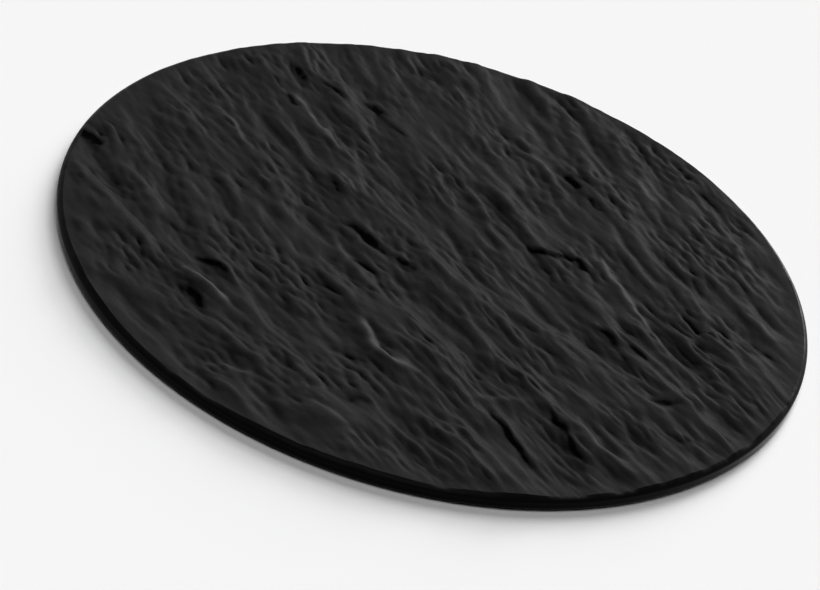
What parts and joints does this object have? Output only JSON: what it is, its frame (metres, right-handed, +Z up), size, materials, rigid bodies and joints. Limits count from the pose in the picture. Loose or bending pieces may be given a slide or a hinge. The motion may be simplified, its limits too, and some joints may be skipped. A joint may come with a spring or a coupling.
{
  "type": "riven basalt stone slab",
  "caption": "Thin round slab of dark basalt with a natural split upper face, a smooth black wall with eased edges, and low non-slip pads underneath.",
  "frame": {"origin": "floor level under the slab's centre, in the plane of the pads' soles", "axes": "+Z up out of the split face, -Y towards the front, +X to the right seen from the front"},
  "size_m": [0.3, 0.3, 0.007],
  "materials": {
    "basalt": "matte",
    "pad_rubber": "matte"
  },
  "bodies": {
    "root": {"stone_slab": "basalt", "pad_front_left": "pad_rubber", "pad_front_right": "pad_rubber", "pad_rear_left": "pad_rubber", "pad_rear_right": "pad_rubber"}
  },
  "joints": []
}
